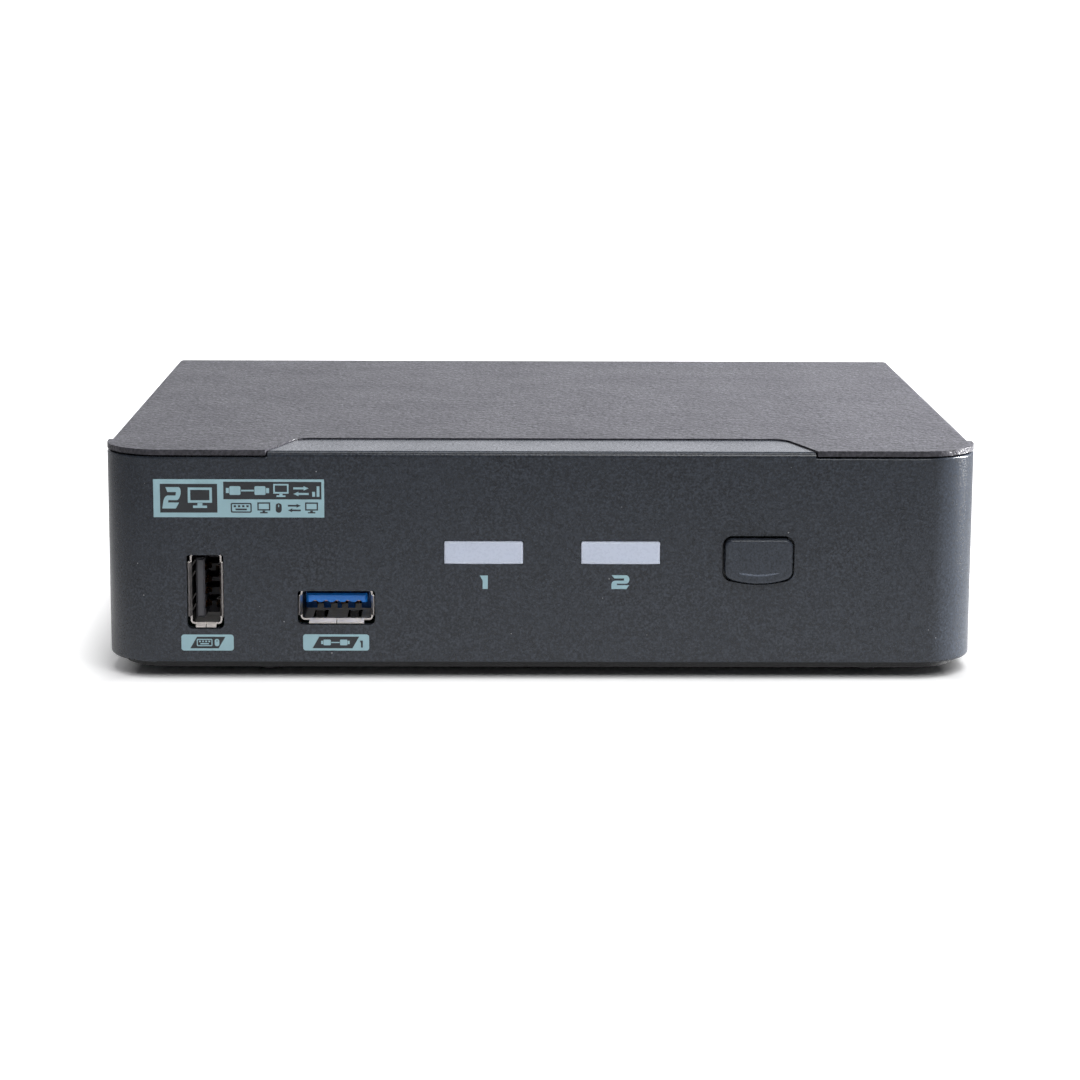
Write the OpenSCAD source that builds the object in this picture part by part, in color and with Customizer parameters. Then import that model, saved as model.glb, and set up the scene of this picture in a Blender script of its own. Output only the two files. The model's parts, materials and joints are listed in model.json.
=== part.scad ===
// Two-port desktop KVM switch.
// Frame: X to the right seen from the front, Y to the back, Z up.
// Origin: centre of the footprint, on the surface that the rubber feet stand on. Millimetres.

/* [Enclosure] */
// Overall width
body_w = 159; // [150:0.5:170]
// Depth from the bezel's front face to the cover's back edge
body_d = 134; // [120:0.5:150]
// Height of the cover's top face above the desk
body_h = 42.2; // [38:0.1:50]
// Height of the rubber feet
foot_h = 2; // [1:0.1:5]
// Sheet steel thickness of the cover and the tray
sheet_t = 1; // [0.6:0.1:1.5]
// Bezel wall thickness
bezel_wall = 2.2; // [1.5:0.1:3]
// Length of the bezel's side returns
bezel_return = 13; // [12.5:0.1:13.5]
// Radius of the upright front corners
corner_r = 11.5; // [9:0.5:12]
// Outside radius of the cover's side bends
bend_r = 1.2; // [1.05:0.05:2]

/* [Tongue in the cover] */
// Half width of the cover's notch at the front
notch_front = 49.8; // [40:0.1:60]
// Half width of the cover's notch where the back corners start
notch_back = 45.1; // [38:0.1:58]
// Depth of the notch
notch_d = 15.2; // [10:0.1:20]
// Gap between the notch and the bezel's tongue
notch_gap = 0.35; // [0.2:0.05:0.6]

/* [Front controls] */
// Width of a port window
window_w = 14.3; // [10:0.1:18]
// Height of a port window
window_h = 4.2; // [3:0.1:6]
// Centre heights of the port windows
window_z = 23.5; // [20:0.1:28]
// Button centre, across
button_x = 39.3; // [30:0.1:50]
// Button centre, height
button_z = 22.15; // [18:0.1:28]
// Button cap width
button_w = 12.4; // [9:0.1:16]
// Button cap height
button_h = 8.3; // [6:0.1:12]
// How far the button cap stands out of the bezel
button_proud = 1.6; // [0.5:0.1:2.5]
// Button travel
button_travel = 0.5; // [0.2:0.05:0.8]

/* [Front sockets] */
// Upright data socket centre, across
hid_x = -60.9; // [-64:0.1:-55]
// Upright data socket centre, height
hid_z = 16.5; // [16:0.1:18]
// Flat data socket centre, across
usb3_x = -37.2; // [-44:0.1:-30]
// Flat data socket centre, height
usb3_z = 13.6; // [13:0.1:16]
// How far socket mouths sit behind the bezel's front face
mouth_set = 1.4; // [0.5:0.1:1.8]

/* [Hidden] */
$fn = 96;
eps = 0.02;

// Enclosure planes
ridge_h = 0.2;                        // finger ridge on the button
front_y = -body_d/2 + (button_proud + ridge_h)/2;
back_y = front_y + body_d;
pan_z = foot_h;                       // underside of the tray
bezel_z = pan_z + sheet_t;            // bezel stands on the tray's sheet
lid_z = body_h - sheet_t;             // underside of the cover's top
lid_gap = 0.3;
bezel_top = lid_z - lid_gap;
bezel_h = bezel_top - bezel_z;
edge_r = 0.6;                         // rounding of the bezel's lower edge
tongue_r = 1;                         // rounding of the tongue's front edge
half_w = body_w/2;
cover_x = half_w - 0.1;               // outside of the cover's side walls
tray_x = cover_x - sheet_t - 0.2;     // outside of the tray's side walls
tray_wall_h = 28;
panel_y = back_y - 0.8;               // outside of the rear panel
cover_screw_y = [-35, 44];
cover_screw_z = 25;
bezel_screw_x = [-50, 60];
bezel_screw_y = front_y + 8;
foot_pos = [for (sx = [-1, 1], y = [front_y + 18, back_y - 14]) [sx*66, y]];

// Boards
pcb_t = 1.6;
board_z = 9.9;                        // top of the main board
board_w = 151;
board_y0 = front_y + 4.6;
board_y1 = panel_y - sheet_t - 0.5;
board_screw = [for (sx = [-1, 1], y = [-38, 38]) [sx*70, y]];
fboard_y = front_y + 10.4;            // front face of the front board
fboard_x = [-24, 52];
fboard_top = 33;

// Port windows
window_x = [-10.5, 14.3];

// USB type-A receptacle
usb_a = [12.5, 5.12];
usb_t = 0.3;
usb_len = 14;
lip_short = 1;                        // lips at the sides of a front socket
lip_long = 1.35;                      // lip at its lower end
lip_angle = 21;
function lip_out(len) = len*sin(lip_angle) + usb_t*cos(lip_angle);

// Rear sockets, centres across, counted from the +X side
dc_x = 70.4;
dc_z = board_z + 6.4;
audio_x = [60, 51.6, -27.5, -71.4];
audio_z = board_z + 3.4;
audio_r = 1.8;
stack_x = 39.1;
stack_h = 15.6;
dp_x = [21.6, 1.4, -42.6];
dp = [16.1, 4.8];
dp_z = board_z + 3.6;
usb_b_x = [-15.6, -59.6];
usb_b = [12, 12.6];
rear_out = back_y - 0.2;              // how far the rear sockets come out

steel_dark = [0.2, 0.2, 0.21];
plastic_dark = [0.17, 0.17, 0.18];
plastic_black = [0.06, 0.06, 0.06];
nickel = [0.75, 0.75, 0.74];
gold = [0.8, 0.62, 0.3];
blue = [0.06, 0.3, 0.8];
green = [0.05, 0.28, 0.14];
chip_grey = [0.12, 0.12, 0.13];

// ---------- shared shapes ----------

function unit(v) = v/norm(v);

// Points of an arc of radius r that rounds the corner q between p and s
function fillet(p, q, s, r, n = 12) =
  let (u = unit(p - q), v = unit(s - q), h = acos(u*v)/2,
       c = q + unit(u + v)*r/sin(h), t = r/tan(h),
       a = q + u*t - c, b = q + v*t - c,
       a0 = atan2(a.y, a.x),
       sweep = ((atan2(b.y, b.x) - a0 + 540) % 360) - 180)
  [for (i = [0:n]) c + r*[cos(a0 + sweep*i/n), sin(a0 + sweep*i/n)]];

// Rectangle with rounded corners, true arcs
module rounded(w, h, r) {
  square([w - 2*r, h], center = true);
  square([w, h - 2*r], center = true);
  for (sx = [-1, 1], sy = [-1, 1]) translate([sx*(w/2 - r), sy*(h/2 - r)]) circle(r = r);
}

// Outline with its front edge on y = 0, round front corners and a square back
module front_rounded(w, d, r) {
  translate([-w/2, r]) square([w, d - r]);
  translate([r - w/2, 0]) square([w - 2*r, r]);
  for (s = [-1, 1]) translate([s*(w/2 - r), r]) circle(r = r);
}

// Edge profile of a slab: x runs outwards to r, both outer edges rounded by e
module slab_profile(r, h, e_low, e_high) {
  translate([0, e_low]) square([r, h - e_low - e_high]);
  square([r - max(e_low, 0.001), h]);
  if (e_low > 0) translate([r - e_low, e_low]) circle(r = e_low);
  if (e_high > 0) {
    square([r - e_high, h]);
    translate([r - e_high, h - e_high]) circle(r = e_high);
  }
}

// Slab with round front corners whose front and side edges are rounded too
module soft_slab(w, d, h, r, e_low, e_high) {
  for (s = [-1, 1]) translate([s*(w/2 - r), r, 0]) {
    rotate([0, 0, s > 0 ? -90 : 180]) rotate_extrude(angle = 90)
      intersection() { slab_profile(r, h, e_low, e_high); translate([0, -1]) square([r + 1, h + 2]); }
    rotate([90, 0, 180]) linear_extrude(d - r)
      scale([-s, 1]) intersection() {
        slab_profile(r, h, e_low, e_high);
        translate([0, -1]) square([r + 1, h + 2]);
      }
  }
  translate([w/2 - r, r, 0]) rotate([90, 0, -90]) linear_extrude(w - 2*r)
    intersection() {
      slab_profile(r, h, e_low, e_high);
      translate([0, -1]) square([r + 1, h + 2]);
    }
  translate([r - w/2, r, 0]) cube([w - 2*r, d - r, h]);
}

// Extrudes a shape drawn in front view (x, z) from y0 back to y1
module in_front(y0, y1) {
  translate([0, y1, 0]) rotate([90, 0, 0]) linear_extrude(y1 - y0) children();
}

// Extrudes a shape drawn in side view (y, z) from x0 to x1
module in_side(x0, x1) {
  translate([x0, 0, 0]) rotate([90, 0, 90]) linear_extrude(x1 - x0) children();
}

module block(x0, x1, y0, y1, z0, z1) {
  translate([x0, y0, z0]) cube([x1 - x0, y1 - y0, z1 - z0]);
}

// ---------- enclosure ----------

// Trapezoid with round back corners, front edge on y = 0
module tongue_outline(inset) {
  f = notch_front - inset;
  b = notch_back - inset;
  d = notch_d - inset;
  right = fillet([f, 0], [b, d], [0, d], 3.6);
  left = [for (i = [len(right) - 1:-1:0]) [-right[i].x, right[i].y]];
  polygon(concat([[-f, -0.01], [f, -0.01]], right, left));
}

// Button outline in front view: rounder low corners and a bowed lower edge
module button_outline(grow) {
  w = button_w/2 + grow;
  t = button_h/2 + grow;
  bow = 1.1;
  n = 14;
  top_r = 1.5 + grow;
  low_r = 2.3 + grow;
  low_y = -t + bow;
  bow_r = (w*w + bow*bow)/(2*bow);
  a = asin((w - low_r*0.8)/bow_r);
  corner = fillet([w, 0], [w, low_y - 0.25], bow_r*[sin(a*0.6), -cos(a*0.6)] + [0, bow_r - t], low_r*0.72);
  upper = fillet([0, t], [w, t], [w, 0], top_r);
  arc = [for (i = [0:n]) let (b = a*0.62*(1 - 2*i/n)) [bow_r*sin(b), bow_r - t - bow_r*cos(b)]];
  mirrored_low = [for (i = [len(corner) - 1:-1:0]) [-corner[i].x, corner[i].y]];
  mirrored_up = [for (i = [len(upper) - 1:-1:0]) [-upper[i].x, upper[i].y]];
  polygon(concat(upper, corner, arc, mirrored_low, mirrored_up));
}

// Panel opening for a type-A receptacle, seen from the front; little room is left above the mouth
module usb_opening(w, h, over, grow = 0) {
  x = w/2 + lip_out(lip_short) + 0.15 + grow;
  low = -h/2 - lip_out(lip_long) - 0.15 - grow;
  high = h/2 + over;
  lower = fillet([x, 0], [x, low], [0, low], 1, 8);
  upper = fillet([0, high], [x, high], [x, 0], 0.45, 6);
  right = concat(upper, lower);
  polygon(concat(right, [for (i = [len(right) - 1:-1:0]) [-right[i].x, right[i].y]]));
}

// Both steps of that opening: tight in front, wider behind where the shell reaches in
module usb_hole(x, z, w, h) {
  in_front(front_y - 1, front_y + mouth_set - 0.1) translate([x, z]) usb_opening(w, h, 0.2);
  in_front(front_y + mouth_set - 0.11, front_y + bezel_wall + 1) translate([x, z]) usb_opening(w, h, 0.5, 0.1);
}

// Port window in front view, its lower edge slightly bowed
module window_outline(grow) intersection() {
  translate([0, -0.04]) rounded(window_w + 2*grow, window_h + 2*grow + 0.08, 0.42 + grow);
  translate([0, 200 - window_h/2 - grow]) circle(r = 200, $fn = 720);
}

module front_bezel() color(plastic_dark) {
  in_w = body_w - 2*bezel_wall;
  difference() {
    union() {
      translate([0, front_y, bezel_z]) soft_slab(body_w, bezel_return, bezel_h, corner_r, edge_r, 0.4);
      translate([0, front_y, bezel_top - 1.5]) linear_extrude(body_h - 0.25 - bezel_top + 1.5)
        tongue_outline(notch_gap);
    }
    // hollow behind the front wall
    translate([0, front_y + bezel_wall, bezel_z + bezel_wall])
      linear_extrude(bezel_h - 2*bezel_wall)
      front_rounded(in_w, bezel_return + 5, corner_r - bezel_wall);
    // round front edge of the tongue
    in_side(notch_gap - notch_front - 0.01, notch_front - notch_gap + 0.01) difference() {
      translate([front_y - 0.01, body_h - 0.25 - tongue_r]) square([tongue_r + 0.01, tongue_r + 0.01]);
      translate([front_y + tongue_r, body_h - 0.25 - tongue_r]) circle(r = tongue_r);
    }
    for (x = window_x) in_front(front_y - 1, front_y + bezel_wall + 1)
      translate([x, window_z]) window_outline(0.1);
    in_front(front_y - 1, front_y + bezel_wall + 1)
      translate([button_x, button_z]) button_outline(0.35);
    usb_hole(usb3_x, usb3_z, usb_a.x, usb_a.y);
    usb_hole(hid_x, hid_z, usb_a.y, usb_a.x);
    for (x = bezel_screw_x) translate([x, bezel_screw_y, bezel_z - 1]) cylinder(r = 1.25, h = 5);
    // shallow relief along the lower front edge
    block(-70, 71, front_y - 1, front_y + 1.9, bezel_z - 1, bezel_z + 0.25);
  }
  // bosses for the bezel screws
  for (x = bezel_screw_x) translate([x, bezel_screw_y, bezel_z + bezel_wall - eps]) difference() {
    cylinder(r = 2.8, h = 2.6);
    translate([0, 0, -1]) cylinder(r = 1.25, h = 3);
  }
}

module top_cover() color(steel_dark) {
  apron = bezel_return + 0.2;
  run = body_d - apron;
  difference() {
    union() {
      // flat apron over the bezel
      translate([0, front_y, lid_z]) soft_slab(body_w, apron, sheet_t, corner_r, 0, 0.45);
      // top sheet
      translate([bend_r - cover_x, front_y + apron - 0.01, lid_z]) cube([2*(cover_x - bend_r), run + 0.01, sheet_t]);
      // bent sides
      for (s = [-1, 1]) scale([s, 1, 1]) {
        translate([cover_x - bend_r, back_y, body_h - bend_r]) rotate([90, 0, 0]) linear_extrude(run)
          difference() {
            intersection() { circle(r = bend_r); square([2, 2]); }
            circle(r = bend_r - sheet_t);
          }
        block(cover_x - sheet_t, cover_x, front_y + apron, back_y, bezel_z, body_h - bend_r);
      }
    }
    translate([0, front_y - 1, lid_z - 1]) linear_extrude(sheet_t + 2)
      union() { translate([0, 1]) tongue_outline(0); translate([-notch_front, 0]) square([2*notch_front, 1.01]); }
    for (s = [-1, 1], y = cover_screw_y) translate([s*(cover_x + 0.01), y, cover_screw_z])
      rotate([0, -s*90, 0]) {
        cylinder(r1 = 2.75, r2 = 1.7, h = 1.06);
        cylinder(r = 1.7, h = 2);
      }
  }
}

module rear_openings() {
  in_front(panel_y - 3, panel_y + 1) {
    translate([dc_x, dc_z]) circle(r = 4.15);
    for (x = audio_x) translate([x, audio_z]) circle(r = 3.15);
    translate([stack_x, board_z + stack_h/2]) square([usb_a.x + 2*usb_t + 0.5, stack_h + 0.5], center = true);
    for (x = dp_x) translate([x, dp_z]) dp_outline(usb_t + 0.3);
    for (x = usb_b_x) translate([x, board_z + usb_b.y/2]) square([usb_b.x + 0.5, usb_b.y + 0.5], center = true);
  }
}

module base_tray() color(steel_dark) {
  y_side = front_y + bezel_return + 0.6;
  difference() {
    union() {
      // floor, narrower under the bezel
      translate([0, front_y + 1.7, pan_z]) linear_extrude(sheet_t) front_rounded(153.4, 20, 9);
      block(-tray_x, tray_x, y_side, panel_y, pan_z, pan_z + sheet_t);
      // side walls
      for (s = [-1, 1]) scale([s, 1, 1])
        block(tray_x - sheet_t, tray_x, y_side, panel_y, pan_z, pan_z + tray_wall_h);
      // rear panel and its stiffening flange
      block(-tray_x, tray_x, panel_y - sheet_t, panel_y, pan_z, lid_z - 0.15);
      block(-tray_x + 4, tray_x - 4, panel_y - 7, panel_y, lid_z - 0.15 - sheet_t, lid_z - 0.15);
    }
    rear_openings();
    for (x = bezel_screw_x) translate([x, bezel_screw_y, 0]) cylinder(r = 1.45, h = 10);
    for (s = [-1, 1], y = cover_screw_y) translate([s*cover_x, y, cover_screw_z])
      rotate([0, -s*90, 0]) cylinder(r = 1.55, h = 5);
  }
}

module rubber_feet() color(plastic_black)
  for (p = foot_pos) translate([p.x, p.y, 0]) {
    cylinder(r1 = 4.6, r2 = 5.2, h = 0.6);
    translate([0, 0, 0.6 - eps]) cylinder(r = 5.2, h = foot_h - 0.6 + eps);
  }

module cover_screws() color(nickel)
  for (s = [-1, 1], y = cover_screw_y)
    translate([s*(cover_x - 0.02), y, cover_screw_z]) rotate([0, -s*90, 0]) difference() {
      union() {
        cylinder(r1 = 2.6, r2 = 1.5, h = 1.05);
        translate([0, 0, 1]) cylinder(r = 1.45, h = 4);
      }
      for (a = [0, 90]) rotate([0, 0, a]) cube([2.6, 0.5, 1.2], center = true);
    }

module pan_screw(head_r, head_h, r, len) {
  difference() {
    union() {
      cylinder(r = head_r, h = head_h);
      translate([0, 0, -len]) cylinder(r = r, h = len + eps);
    }
    for (a = [0, 90]) rotate([0, 0, a]) translate([0, 0, head_h]) cube([head_r*1.2, 0.5, 1.2], center = true);
  }
}

module bezel_screws() color(nickel)
  for (x = bezel_screw_x) translate([x, bezel_screw_y, pan_z]) rotate([180, 0, 0]) pan_screw(2.3, 1.2, 1.2, 4.8);

// ---------- boards ----------

module board_standoffs() color(gold)
  for (p = board_screw) translate([p.x, p.y, bezel_z]) difference() {
    cylinder(r = 2.9, h = board_z - pcb_t - bezel_z, $fn = 6);
    translate([0, 0, 0.6]) cylinder(r = 1.5, h = 10);
  }

module board_screws() color(nickel)
  for (p = board_screw) translate([p.x, p.y, board_z]) pan_screw(2.9, 1.8, 1.45, 5);

module main_board() color(green) difference() {
  block(-board_w/2, board_w/2, board_y0, board_y1, board_z - pcb_t, board_z);
  for (p = board_screw) translate([p.x, p.y, 0]) cylinder(r = 1.7, h = 20);
  // corners cleared for the bezel's rounded corners
  for (s = [-1, 1]) scale([s, 1, 1])
    block(board_w/2 - 4, board_w/2 + 1, board_y0 - 1, front_y + bezel_return + 2, 0, 20);
}

module front_board() color(green)
  block(fboard_x[0], fboard_x[1], fboard_y, fboard_y + pcb_t, board_z + 0.3, fboard_top);

// Right-angle header between the two boards
link_x = 4;
link_n = 10;
link_p = 2;
module link_header() color(plastic_black) difference() {
  block(link_x - 1, link_x + link_n*link_p + 1, fboard_y + pcb_t + 0.05, fboard_y + pcb_t + 2.6,
        board_z + 1.4, board_z + 3.9);
  for (i = [0:link_n - 1]) translate([link_x + link_p*(i + 0.5), 0, board_z + 2.65])
    cube([0.6, 400, 0.6], center = true);
}

module link_pins() color(gold)
  for (i = [0:link_n - 1]) translate([link_x + link_p*(i + 0.5) - 0.25, 0, board_z + 2.4]) {
    block(0, 0.5, fboard_y + pcb_t + 0.05, fboard_y + pcb_t + 4, 0, 0.5);
    block(0, 0.5, fboard_y + pcb_t + 3.5, fboard_y + pcb_t + 4, -2.4, 0.5);
  }

// ---------- front controls ----------

// Side view of a bar of the given height from y0 back to y1, its front edges rounded by r
module soft_front(h, y0, y1, r) {
  translate([y0 + r, -h/2]) square([y1 - y0 - r, h]);
  translate([y0, r - h/2]) square([r + 0.01, h - 2*r]);
  for (s = [-1, 1]) translate([y0 + r, s*(h/2 - r)]) circle(r = r);
}

window_proud = 0.3;
module port_window(x) color([0.8, 0.8, 0.9]) {
  y0 = front_y - window_proud;
  y1 = front_y + bezel_wall + 0.1;
  intersection() {
    in_front(y0, y1) translate([x, window_z]) window_outline(0);
    translate([0, 0, window_z]) in_side(x - 8, x + 8) soft_front(window_h, y0, y1, 0.42);
    translate([x, 0, window_z - 4]) linear_extrude(8) rotate([0, 0, 90]) soft_front(window_w, y0, y1, 0.3);
  }
  in_front(front_y + bezel_wall + 0.05, front_y + bezel_wall + 0.9) translate([x, window_z])
    rounded(window_w + 1.6, window_h + 1.6, 0.6);
  block(x - 5, x + 5, front_y + bezel_wall + 0.8, fboard_y - 2, window_z - 1.6, window_z + 1.6);
}
module port_window_1() port_window(window_x[0]);
module port_window_2() port_window(window_x[1]);

module status_leds() color([0.95, 0.95, 0.9])
  for (x = window_x, d = [-2.6, 2.6]) block(x + d - 1.6, x + d + 1.6, fboard_y - 1.8, fboard_y - 0.02,
    window_z - 1.4, window_z + 1.4);

switch_h = 3.4;                       // tact switch body, off the front board
plunger_y = fboard_y - 5;             // front of its plunger at rest
plunger_r = 1.7;

module button_cap() color(plastic_dark) {
  y0 = front_y - button_proud;
  stem_r = 1.6;
  translate([button_x, 0, button_z]) {
    // face, stepped in twice so that its edge is soft
    in_front(y0, y0 + 0.15 + eps) button_outline(-0.45);
    in_front(y0 + 0.15, y0 + 0.45 + eps) button_outline(-0.17);
    in_front(y0 + 0.45, front_y + bezel_wall + 0.1) button_outline(0);
    // flange that keeps the cap behind the bezel
    in_front(front_y + bezel_wall + 0.1 - eps, front_y + bezel_wall + 0.9) button_outline(1.1);
    // stem that presses the switch
    in_front(front_y + bezel_wall + 0.9 - eps, plunger_y - 0.03) circle(r = stem_r);
    // finger ridge
    in_front(y0 - ridge_h, y0 + eps) intersection() {
      translate([0, 16.2 - 2.45]) difference() { circle(r = 16.4); circle(r = 16.0); }
      translate([-3.95, -4]) square([7.9, 3]);
    }
  }
}

module switch_body() color(plastic_black) translate([button_x, 0, button_z]) difference() {
  block(-3, 3, fboard_y - switch_h, fboard_y - 0.02, -3, 3);
  in_front(fboard_y - switch_h - 1, fboard_y - 0.7) circle(r = plunger_r + 0.12);
}

module switch_plunger() color([0.75, 0.72, 0.65]) translate([button_x, 0, button_z])
  in_front(plunger_y, fboard_y - 0.7 - button_travel - 0.2) circle(r = plunger_r);

// ---------- USB type-A receptacles, mouth on y = 0 facing -Y, centred ----------

// One flared lip of the given width, standing on the upper wall; a long one has a seam in its middle
module lip(len, w) difference() {
  translate([-w/2, 0, 0]) rotate([-lip_angle, 0, 0]) translate([0, -len, 0]) cube([w, len + 0.1, usb_t]);
  if (len == lip_long) translate([0, -2, 0]) cube([0.14, 4, 3], center = true);
}

// Lip lengths are for its left, right, lower and upper side
module usb_a_shell(len, lips = [lip_short, lip_short, lip_long, 0]) {
  w = usb_a.x;
  h = usb_a.y;
  t = usb_t;
  difference() {
    in_front(0, len) rounded(w + 2*t, h + 2*t, 0.75);
    in_front(-1, len - t) rounded(w, h, 0.45);
    // windows that the spring tongues are cut from
    for (sx = [-1, 1], sz = [-1, 1]) translate([sx*3.1, 4.4, sz*(h/2 + t/2)]) cube([2.5, 6.4, 1], center = true);
  }
  // spring tongues: the lower ones are bent into the mouth, the upper ones lie flat
  for (sx = [-1, 1]) {
    in_side(sx*3.1 - 0.75, sx*3.1 + 0.75)
      polygon([[7.7, -h/2], [2.9, 0.94 - h/2], [2.55, 0.94 - h/2], [1.35, -h/2 - 0.1],
               [1.55, -h/2 - 0.26], [2.72, 0.7 - h/2], [2.85, 0.7 - h/2], [7.7, -h/2 - 0.24]]);
    block(sx*3.1 - 0.75, sx*3.1 + 0.75, 1.7, 7.7, h/2, h/2 + 0.24);
  }
  for (s = [-1, 1]) {
    long_side = lips[s < 0 ? 2 : 3];
    short_side = lips[s < 0 ? 0 : 1];
    if (long_side > 0) scale([1, 1, s]) translate([0, 0, h/2]) lip(long_side, w*0.8);
    if (short_side > 0) scale([s, 1, 1]) translate([w/2, 0, 0]) rotate([0, 90, 0]) lip(short_side, h*0.72);
  }
}

tongue_low = 0.3;                     // tongue's lower face above the mouth's centre
tongue_high = 1.9;
module usb_a_insulator(len, low_cut = 0.3, scallops = []) {
  g = 0.06;
  difference() {
    union() {
      in_front(9.2, len - usb_t - g) rounded(usb_a.x - 2*g, usb_a.y - 2*g, 0.45);
      intersection() {
        in_side(-6, 6) polygon([[0.7, tongue_low + low_cut], [0.7, tongue_high - 0.35], [1.05, tongue_high],
                                [9.3, tongue_high], [9.3, tongue_low], [0.7 + low_cut, tongue_low]]);
        linear_extrude(4) polygon([[-5.55, 9.4], [-5.55, 1.1], [-5.1, 0.65], [5.1, 0.65], [5.55, 1.1], [5.55, 9.4]]);
      }
    }
    // slots that the contacts lie in
    for (x = [-3.5, -1, 1, 3.5]) block(x - 0.6, x + 0.6, 1.6, 20, -3, tongue_low + 0.3);
    for (x = scallops) in_front(0.5, 3) translate([x, tongue_low - 0.42]) circle(r = 0.78);
  }
}

module usb_a_contacts(len) {
  for (x = [-3.5, -1, 1, 3.5]) {
    z = tongue_low + 0.26;
    block(x - 0.5, x + 0.5, 1.7, len - 1, z - 0.18, z);
    in_side(x - 0.4, x + 0.4)
      polygon([[2.1, z], [4, z - 1.2], [4.3, z - 1.2], [6.4, z], [6, z], [4.2, z - 0.98], [4.1, z - 0.98], [2.5, z]]);
  }
}

// Extra short contacts of the fast lanes, under the tongue's front edge
fast_x = [-4, -2, 0, 2, 4];
module usb3_front_contacts() {
  for (x = fast_x) block(x - 0.22, x + 0.22, 1, 1.55, tongue_low + 0.16, tongue_low + 0.3);
}

// Legs from the sides of a shell down to the board
module solder_legs(x, z_shell, z_board)
  for (s = [-1, 1], y = [5, 11]) scale([s, 1, 1]) block(x, x + usb_t, y, y + 1.6, z_board, z_shell + 0.5);

module at_hid() translate([hid_x, front_y + mouth_set, hid_z]) rotate([0, -90, 0]) children();
module at_usb3() translate([usb3_x, front_y + mouth_set, usb3_z]) children();

// The upright receptacle lies on its side, so its lips are on its long sides and its low end
module hid_shell() color(nickel) at_hid() usb_a_shell(usb_len, [lip_long, 0, lip_short, lip_short]);
module hid_insulator() color(plastic_black) at_hid() usb_a_insulator(usb_len);
module hid_contacts() color(gold) at_hid() usb_a_contacts(usb_len);
module usb3_shell() color(nickel) at_usb3() {
  usb_a_shell(usb_len);
  solder_legs(usb_a.x/2, -usb_a.y/2 - usb_t, board_z - usb3_z);
}
module usb3_insulator() color(blue) at_usb3() usb_a_insulator(usb_len, 0.1, fast_x);
module usb3_contacts() color(gold) at_usb3() { usb_a_contacts(usb_len); usb3_front_contacts(); }

// ---------- rear sockets ----------

// Places a receptacle so that its mouth faces +Y at the given height
module at_rear(x, z) translate([x, rear_out, z]) rotate([0, 0, 180]) children();

module dc_jack() color(plastic_black) difference() {
  union() {
    block(dc_x - 4.5, dc_x + 4.5, panel_y - sheet_t - 13, panel_y - sheet_t - 0.2, board_z, board_z + 11);
    in_front(panel_y - sheet_t - 1, rear_out) translate([dc_x, dc_z]) circle(r = 3.95);
  }
  in_front(panel_y - sheet_t - 10, rear_out + 1) translate([dc_x, dc_z]) circle(r = 2.9);
}

module dc_pin() color(nickel) in_front(panel_y - sheet_t - 10, rear_out - 1.2)
  translate([dc_x, dc_z]) circle(r = 1.05);

module audio_jack(x, c) color(c) difference() {
  union() {
    block(x - 3.3, x + 3.3, panel_y - sheet_t - 12, panel_y - sheet_t - 0.2, board_z, board_z + 6.8);
    in_front(panel_y - sheet_t - 1, rear_out) translate([x, audio_z]) circle(r = 2.95);
  }
  in_front(panel_y - sheet_t - 10, rear_out + 1) translate([x, audio_z]) circle(r = audio_r);
}
module audio_jack_console() audio_jack(audio_x[0], [0.45, 0.75, 0.3]);
module mic_jack_console() audio_jack(audio_x[1], [0.9, 0.5, 0.6]);
module audio_jack_pc1() audio_jack(audio_x[2], [0.45, 0.75, 0.3]);
module audio_jack_pc2() audio_jack(audio_x[3], [0.45, 0.75, 0.3]);

// Two receptacles, one above the other, in one shell
stack_z = [for (s = [0, 1]) board_z + (s ? stack_h - usb_t - usb_a.y/2 : usb_t + usb_a.y/2)];
stack_len = 15;
module usb_stack_shell() color(nickel) difference() {
  translate([stack_x - usb_a.x/2 - usb_t, rear_out - stack_len, board_z])
    cube([usb_a.x + 2*usb_t, stack_len, stack_h]);
  for (z = stack_z) block(stack_x - usb_a.x/2, stack_x + usb_a.x/2, rear_out - stack_len + usb_t, rear_out + 1,
    z - usb_a.y/2, z + usb_a.y/2);
  block(stack_x - usb_a.x/2, stack_x + usb_a.x/2, rear_out - stack_len + usb_t, rear_out - 0.6,
    stack_z[0] + usb_a.y/2 + usb_t, stack_z[1] - usb_a.y/2 - usb_t);
}
module usb_stack_insulators() color(plastic_black) for (z = stack_z) at_rear(stack_x, z) usb_a_insulator(stack_len);
module usb_stack_contacts() color(gold) for (z = stack_z) at_rear(stack_x, z) usb_a_contacts(stack_len);

// DisplayPort outline in front view, one low corner cut off; g makes it larger
module dp_outline(g) {
  w = dp.x/2 + g;
  h = dp.y/2 + g;
  c = 1.9;
  polygon([[-w, h], [w, h], [w, -h + c], [w - c, -h], [-w, -h]]);
}
dp_len = 14;
module dp_shell(x) color(nickel) {
  difference() {
    in_front(rear_out - dp_len, rear_out) translate([x, dp_z]) dp_outline(usb_t);
    in_front(rear_out - dp_len + usb_t, rear_out + 1) translate([x, dp_z]) dp_outline(0);
  }
  translate([x, rear_out - dp_len, dp_z]) solder_legs(dp.x/2, -0.5, board_z - dp_z);
}
module dp_insulator(x) color(plastic_black) {
  in_front(rear_out - dp_len + usb_t + 0.06, rear_out - 8) translate([x, dp_z]) dp_outline(-0.06);
  block(x - 5.9, x + 5.9, rear_out - 8.02, rear_out - 1, dp_z - 0.15, dp_z + 1.15);
}
module dp_console_shell() dp_shell(dp_x[0]);
module dp_console_insulator() dp_insulator(dp_x[0]);
module dp_pc1_shell() dp_shell(dp_x[1]);
module dp_pc1_insulator() dp_insulator(dp_x[1]);
module dp_pc2_shell() dp_shell(dp_x[2]);
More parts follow.
